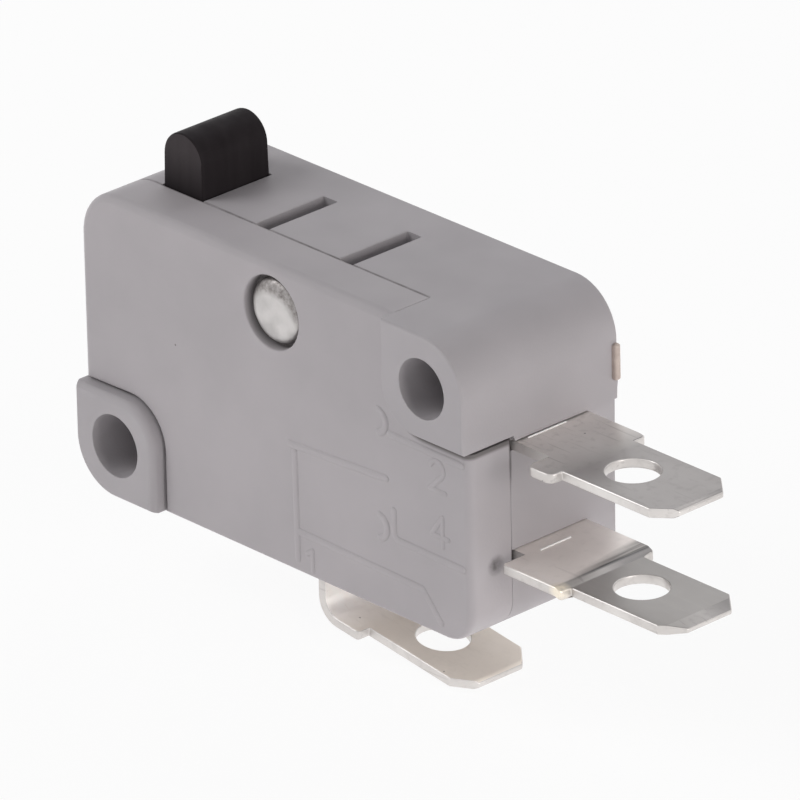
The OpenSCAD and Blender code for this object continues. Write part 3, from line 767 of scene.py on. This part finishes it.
def make_cover():
    """Front half: soft outline, broken edges at the seams and round the rivet's recess.

    Its joint with the boss is drawn in on the roof and opened underneath.
    """
    cover = merged_copy("cover", "front_cover", [(0, RIVET_AXIS.x), (2, RIVET_AXIS.z)])
    move_points(cover, lambda at: by_boss(at) and abs(at.x - BOSS_X) < NEAR, (0.09, 0, 0))
    move_points(cover, lambda at: by_boss(at) and abs(at.z - BOSS_Z) < NEAR, (0, 0, -0.16))

    def outline(edge, middle, a, b):
        return (in_plane(1, FACE_Y)(a, b) and faces_out(edge, middle) and not by_lug(middle)
                and not by_boss(middle) and from_axis(middle, RIVET_AXIS) > 2.5)

    def cut_outs(edge, middle, a, b):
        return in_plane(1, FACE_Y)(a, b) and (by_lug(middle) or by_boss(middle))

    def under_boss(edge, middle, a, b):
        return by_boss(middle) and in_plane(0, END_X)(a, b) and abs(a.y - b.y) > 0.5

    def recess_rim(edge, middle, a, b):
        return in_plane(1, FACE_Y)(a, b) and from_axis(middle, RIVET_AXIS) < 2.5

    round_edges(cover, EDGE_R, outline, 5)
    tighten_floor_edge(cover)
    round_edges(cover, 0.08, recess_rim, 3)
    round_edges(cover, 0.2, cut_outs, 4)
    round_edges(cover, 0.08, under_boss, 3)
    round_edges(cover, 0.06, outer_seam, 3)
    smooth(cover)
    dress(cover, "case", "cover_plastic", COVER)
    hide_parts("cover")


make_housing()
make_cover()


# Rivet, button and terminals

# Rivet's sizes, and its head's section as distances from the axis and heights
HEAD_R = 1.7
SHANK_R = 0.95
HEAD_H = 0.6
DOME = [(0, 0.6), (0.3, 0.598), (0.6, 0.592), (0.9, 0.58), (1.1, 0.565), (1.25, 0.545), (1.38, 0.515),
        (1.48, 0.475), (1.56, 0.425), (1.62, 0.36), (1.66, 0.29), (1.69, 0.2), (HEAD_R, 0.1), (HEAD_R, 0)]


def make_rivet():
    """Rivet turned from its half section, with heads that the setting tool has dented."""
    low, high = (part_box("cover_rivet")[i].y / MM for i in (0, 1))
    front = [(r, low + HEAD_H - h) for r, h in DOME]
    back = [(r, high - HEAD_H + h) for r, h in reversed(DOME)]
    section = front + [(SHANK_R, front[-1][1]), (SHANK_R, back[0][1])] + back
    points = [Vector((RIVET_AXIS.x + r, y, RIVET_AXIS.z)) * MM for r, y in section]
    bpy.ops.object.select_all(action="DESELECT")
    bpy.ops.mesh.primitive_plane_add(size=MM, location=points[0])
    rivet = bpy.context.active_object
    rivet.name = "set_rivet"
    bpy.ops.object.transform_apply(location=True)
    start_edit(rivet, "VERT")
    bpy.ops.mesh.select_all(action="SELECT")
    bpy.ops.mesh.merge(type="CENTER")
    for start, end in zip(points, points[1:]):
        bpy.ops.mesh.extrude_region_move(TRANSFORM_OT_translate={"value": end - start})
    bpy.ops.mesh.select_all(action="SELECT")
    bpy.ops.mesh.spin(steps=72, angle=math.tau, center=RIVET_AXIS * MM, axis=(0, 1, 0))
    bpy.ops.mesh.select_all(action="SELECT")
    bpy.ops.mesh.remove_doubles(threshold=0.002 * MM)
    bpy.ops.mesh.normals_make_consistent(inside=False)
    end_edit()
    dome = rivet.vertex_groups.new(name="dome")
    dome.add([v.index for v in rivet.data.vertices if from_axis(v.co / MM, RIVET_AXIS) < 1.6], 1, "REPLACE")
    dents = bpy.data.textures.new("setting_dents", "CLOUDS")
    dents.noise_scale = 0.8 * MM
    press = rivet.modifiers.new("dents", "DISPLACE")
    press.texture = dents
    press.vertex_group = dome.name
    press.strength = 0.06 * MM
    press.mid_level = 0.7
    select_only(rivet)
    bpy.ops.object.modifier_apply(modifier=press.name)
    smooth(rivet, 50)
    dress(rivet, "case", "rivet_metal", RIVET)
    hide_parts("cover_rivet")


def make_button():
    """Push button with its moulded edges just broken."""
    button = merged_copy("plunger", "push_button")
    round_edges(button, 0.14, lambda edge, middle, a, b: middle.z > ROOF_Z - 0.5, 3)
    smooth(button)
    dress(button, "button", "plunger_plastic", BUTTON)
    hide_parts("plunger")


def pick_bends(piece, chosen):
    """Opens a piece with the slight bends across it selected that pass a test of their middle."""
    body = start_edit(piece)
    for edge in body.edges:
        a, b = (v.co / MM for v in edge.verts)
        if 5 < math.degrees(edge.calc_face_angle()) < SHARP and abs(a.y - b.y) > 1 and chosen((a + b) / 2):
            if all(abs(f.normal.y) < 0.05 and f.calc_area() > 0.5 * MM ** 2 for f in edge.link_faces):
                edge.select_set(True)
    bmesh.update_edit_mesh(piece.data)


def shoulder_corner(edge, middle, a, b):
    """True at the upright corners of a blade's shoulders."""
    return edge.is_convex and abs(middle.y) > 3.1 and abs(a.y - b.y) < NEAR and 0.3 < abs(a.z - b.z) < 0.8


# Material slots of a terminal, after the one of its broad faces
CUT_SLOT, TIP_SLOT, RIB_SLOT, OUTSIDE_SLOT = range(1, 5)


def make_terminal(node, name, hole_x, broad, outside, face_material, tip_material, rib=None, weld=0.001):
    """Stamped blade: rolled faces in one finish, sheared edges in a brighter one.

    Its joggle is pressed soft, its tip is coined crisp. The rib is a line of points along which a thin ridge
    stands near the case, near white as a painted highlight.
    """

    def corners(edge, middle, a, b):
        return outside(middle) and shoulder_corner(edge, middle, a, b)

    blade = merged_copy(node, name, [(0, hole_x), (1, 0)], weld)
    round_edges(blade, 0.2, corners, 4)
    round_edges(blade, 0.07, lambda edge, middle, a, b: outside(middle), 3)
    pick_bends(blade, lambda middle: outside(middle) and middle.x < hole_x)
    bpy.ops.mesh.bevel(offset=0.1 * MM, offset_type="OFFSET", segments=3, profile=0.5, affect="EDGES")
    end_edit()
    pick_bends(blade, lambda middle: outside(middle) and middle.x > hole_x)
    bpy.ops.mesh.mark_sharp()
    end_edit()
    top = max(v.co.z for v in blade.data.vertices)
    if rib:
        join([blade, make_bead(rib, RIB_W, RIB_H, Vector((0, 0, 1)))])
    smooth(blade)
    dress(blade, "case", "plated_terminal", face_material, CUT, tip_material, RIB, STRIP_OUTSIDE)
    for face in blade.data.polygons:
        square_on = abs(face.normal.dot(broad(face.center / MM)))
        if rib and face.center.z > top + 0.005 * MM:
            face.material_index = RIB_SLOT
        elif square_on < 0.8:
            face.material_index = CUT_SLOT
        elif outside(face.center / MM) and face.normal.x + face.normal.z < -0.8:
            face.material_index = OUTSIDE_SLOT
        elif square_on < 0.995 and abs(face.normal.y) < 0.05:
            face.material_index = TIP_SLOT
    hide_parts(node)


def flat_strip(centre):
    """Direction square to a flat strip's broad faces."""
    return Vector((0, 0, 1))


# Axis of the common blade's bend, and its fall past the bend
BEND = Vector((13.8, 0, -4.55))
BLADE_FALL = math.radians(7.8)


def bent_strip(centre):
    """Direction square to the bent strip's broad faces."""
    if centre.x > BEND.x:
        return Vector((math.sin(BLADE_FALL), 0, math.cos(BLADE_FALL)))
    if centre.z < BEND.z:
        return Vector((centre.x - BEND.x, 0, centre.z - BEND.z)).normalized()
    return Vector((1, 0, 0))


def past_the_end(middle):
    """True on the two end blades outside the case."""
    return middle.x > 25.3


def below_the_floor(middle):
    """True on the common blade outside the case."""
    return middle.z < FLOOR_Z - 0.1


# Ribs by the case that carry a painted highlight, and the middles of the holes in the blades
RIB_W = 0.12
RIB_H = 0.05
NC_RIB = [Vector((25.08, -0.89, 7.3)), Vector((25.08, 1.55, 7.3))]
NO_RIB = [Vector((25.66, -0.76, 1.5)), Vector((25.66, 1.2, 1.5))]
NC_HOLE_X = 31.3
NO_HOLE_X = 31.8
COM_HOLE_X = 17.8

make_rivet()
make_button()
make_terminal("nc_terminal", "upper_blade", NC_HOLE_X, flat_strip, past_the_end, STRIP, TIP, NC_RIB)
make_terminal("no_terminal", "lower_blade", NO_HOLE_X, flat_strip, past_the_end, STRIP_PALE, TIP, NO_RIB)
make_terminal("com_terminal", "common_blade", COM_HOLE_X, bent_strip, below_the_floor, STRIP_WARM, STRIP_WARM,
              weld=0.03)

for node, material in (("inner_lever", LEVER), ("snap_spring", WIRE), ("contact_blade", ROLLED),
                       ("moving_contact", SILVER), ("nc_contact", SILVER), ("no_contact", SILVER)):
    NODES[node].data.materials.clear()
    NODES[node].data.materials.append(material)


# Raised contact diagram and plain terminal numbers on the cover

# Width and height of the lines and of the numbers' strokes
LINE = (0.4, 0.065)
STROKE = (0.28, 0.055)


def arc(centre, radius, start, end, steps=10):
    """Points of an arc in the face, its angles in degrees."""
    angles = (math.radians(start + (end - start) * i / steps) for i in range(steps + 1))
    return [(centre[0] + radius * math.cos(t), centre[1] + radius * math.sin(t)) for t in angles]


DIAGRAM = [
    [(12.1, 3.92), (18.9, 4.3)],
    [(12.42, 3.6), (12.5, -2.1)],
    [(12.5, -0.62), (21.35, -0.75), (22.6, -2.14)],
    [(19.25, 6.75), (24.2, 6.72)],
    [(24.2, 1.22), (19.65, 1.28), (19.42, 1.52), (19.4, 2.75)],
    arc((18.35, 7.22), 0.62, 80, -80),
    arc((18.3, 1.6), 0.62, 80, -80),
]
NUMBERS = [
    (22.5, 4.85, [arc((0, 1.1), 0.46, 160, -35) + [(-0.5, 0)], [(-0.5, 0), (0.55, 0)]]),
    (22.6, 1.95, [[(0.22, 1.55), (-0.55, 0.5)], [(-0.55, 0.5), (0.6, 0.5)], [(0.22, 1.55), (0.22, 0)]]),
    (13.5, -2.44, [[(-0.3, 0.82), (0.05, 1.08)], [(0.05, 1.08), (0.05, 0)]]),
]


def make_relief():
    """Ridges of the diagram and of the strokes of the numbers 2, 4 and 1."""
    ways = [(line, LINE) for line in DIAGRAM]
    ways += [([(x + u, z + v) for u, v in line], STROKE) for x, z, lines in NUMBERS for line in lines]
    relief = join([make_bead([Vector((x, FACE_Y, z)) for x, z in line], *size, Vector((0, -1, 0)))
                   for line, size in ways])
    relief.name = "contact_diagram"
    smooth(relief, 40)
    dress(relief, "case", "cover_plastic", COVER)


make_relief()


# Floor, light and camera

# Lamps by name, place in metres, size, power and tint, and the place that they face
SWITCH = Vector((0.014, 0, 0.005))
LAMPS = (
    ("key_lamp", (-0.38, -0.38, 0.4), 0.4, 2.2, (1, 1, 1)),
    ("left_lamp", (-0.45, 0.05, 0.42), 0.4, 0.34, (0.97, 0.965, 1)),
    ("rear_lamp", (-0.45, 0.42, 0.2), 0.4, 0.25, (1, 1, 1)),
    ("back_lamp", (-0.1, 0.45, 0.45), 0.4, 0.76, (0.97, 0.965, 1)),
    ("right_lamp", (0.6, 0.02, 0.14), 0.27, 1.6, (1, 0.975, 0.955)),
    ("fill_lamp", (0.38, -0.38, 0.42), 0.4, 0.42, (1, 1, 1)),
    ("table_lamp", (0.014, 0, cad_low.z - 0.0001), 1.0, 1.25, (1, 0.985, 0.975)),
)
ROOM_LIGHT = 0.11
FLOOR_GLOW = 0.92

# Camera's azimuth, elevation and roll in degrees, its place in metres and its lens in millimetres
CAMERA_TURN = (47.275, 24.980, -1.240)
CAMERA_AT = (0.391804, -0.347874, 0.244594)
LENS = 527.04


def seen_rays(tree):
    """1 for camera, glossy and transmission rays, 0 for those that light the object."""
    path = tree.nodes.new("ShaderNodeLightPath").outputs
    mirrored = reckon(tree, "MAXIMUM", path["Is Glossy Ray"], path["Is Transmission Ray"])
    return reckon(tree, "MAXIMUM", path["Is Camera Ray"], mirrored)


def stage_floor():
    """Pale floor that looks nearly white and keeps a faint shadow."""
    bpy.ops.object.select_all(action="DESELECT")
    bpy.ops.mesh.primitive_circle_add(vertices=64, radius=3, fill_type="NGON",
                                      location=(0, 0, cad_low.z - 0.0002))
    floor = bpy.context.active_object
    floor.name = "floor"
    material = bpy.data.materials.new("pale_floor")
    material.use_nodes = True
    tree = material.node_tree
    shader = tree.nodes["Principled BSDF"]
    shader.inputs["Base Color"].default_value = (0.92, 0.92, 0.92, 1)
    shader.inputs["Roughness"].default_value = 0.9
    glow = tree.nodes.new("ShaderNodeEmission")
    glow.inputs["Color"].default_value = (1, 1, 1, 1)
    blend = tree.nodes.new("ShaderNodeMixShader")
    tree.links.new(product(tree, seen_rays(tree), FLOOR_GLOW), blend.inputs["Fac"])
    tree.links.new(shader.outputs["BSDF"], blend.inputs[1])
    tree.links.new(glow.outputs["Emission"], blend.inputs[2])
    tree.links.new(blend.outputs["Shader"], tree.nodes["Material Output"].inputs["Surface"])
    floor.data.materials.append(material)


def soft_box(name, place, size, power, tint):
    """Square lamp that faces the switch and isn't seen itself."""
    bpy.ops.object.select_all(action="DESELECT")
    bpy.ops.object.light_add(type="AREA", location=place)
    lamp = bpy.context.active_object
    lamp.name = name
    lamp.data.shape = "SQUARE"
    lamp.data.size = size
    lamp.data.energy = power
    lamp.data.color = tint
    lamp.rotation_euler = (SWITCH - Vector(place)).to_track_quat("-Z", "Y").to_euler()
    lamp.visible_camera = False


def set_world():
    """Dim even room light, seen as white itself."""
    world = bpy.data.worlds.new("studio")
    bpy.context.scene.world = world
    world.use_nodes = True
    tree = world.node_tree
    room = tree.nodes["Background"]
    room.inputs["Color"].default_value = (1, 1, 1, 1)
    room.inputs["Strength"].default_value = ROOM_LIGHT
    white = tree.nodes.new("ShaderNodeBackground")
    white.inputs["Color"].default_value = (1, 1, 1, 1)
    blend = tree.nodes.new("ShaderNodeMixShader")
    tree.links.new(seen_rays(tree), blend.inputs["Fac"])
    tree.links.new(room.outputs["Background"], blend.inputs[1])
    tree.links.new(white.outputs["Background"], blend.inputs[2])
    tree.links.new(blend.outputs["Shader"], tree.nodes["World Output"].inputs["Surface"])


def set_camera():
    """Long lens from the front right, a little above."""
    azimuth, elevation, roll = (math.radians(turn) for turn in CAMERA_TURN)
    back = Vector((math.sin(azimuth) * math.cos(elevation), -math.cos(azimuth) * math.cos(elevation),
                   math.sin(elevation)))
    right = Vector((0, 0, 1)).cross(back).normalized()
    up = back.cross(right)
    tilted_right = math.cos(roll) * right + math.sin(roll) * up
    tilted_up = -math.sin(roll) * right + math.cos(roll) * up
    turn = Matrix((tilted_right, tilted_up, back)).transposed().to_4x4()
    bpy.ops.object.camera_add()
    camera = bpy.context.active_object
    camera.data.lens = LENS
    camera.data.sensor_width = 36
    camera.data.clip_start = 0.05
    camera.data.clip_end = 20
    camera.matrix_world = Matrix.Translation(CAMERA_AT) @ turn
    bpy.context.scene.camera = camera


stage_floor()
set_world()
for lamp in LAMPS:
    soft_box(*lamp)
set_camera()
bpy.context.scene.view_settings.view_transform = "Standard"
